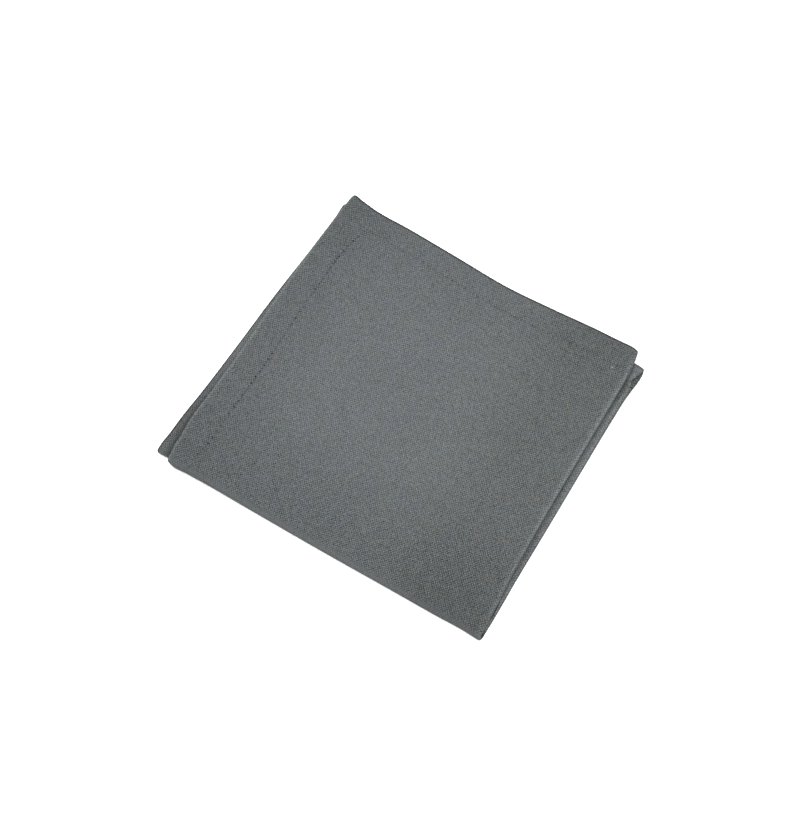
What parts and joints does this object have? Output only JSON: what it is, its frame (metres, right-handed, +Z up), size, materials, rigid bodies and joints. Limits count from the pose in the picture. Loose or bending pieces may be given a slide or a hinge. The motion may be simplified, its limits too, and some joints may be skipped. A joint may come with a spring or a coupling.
{
  "type": "folded cloth napkin",
  "caption": "Square woven cloth napkin with sewn hems, folded in half and in half again into a flat square bundle, with open hemmed edges on one side and folds on the other.",
  "frame": {"origin": "under the middle of the folded bundle, on the surface that it lies on", "axes": "+Z up, square to the lying surface; +X from the open hemmed edges towards the side fold; +Y from the front fold towards the far hemmed edges"},
  "size_m": [0.2204, 0.204, 0.0092],
  "materials": {
    "cloth": "matte plain weave"
  },
  "bodies": {
    "root": {"napkin": "cloth"}
  },
  "joints": []
}
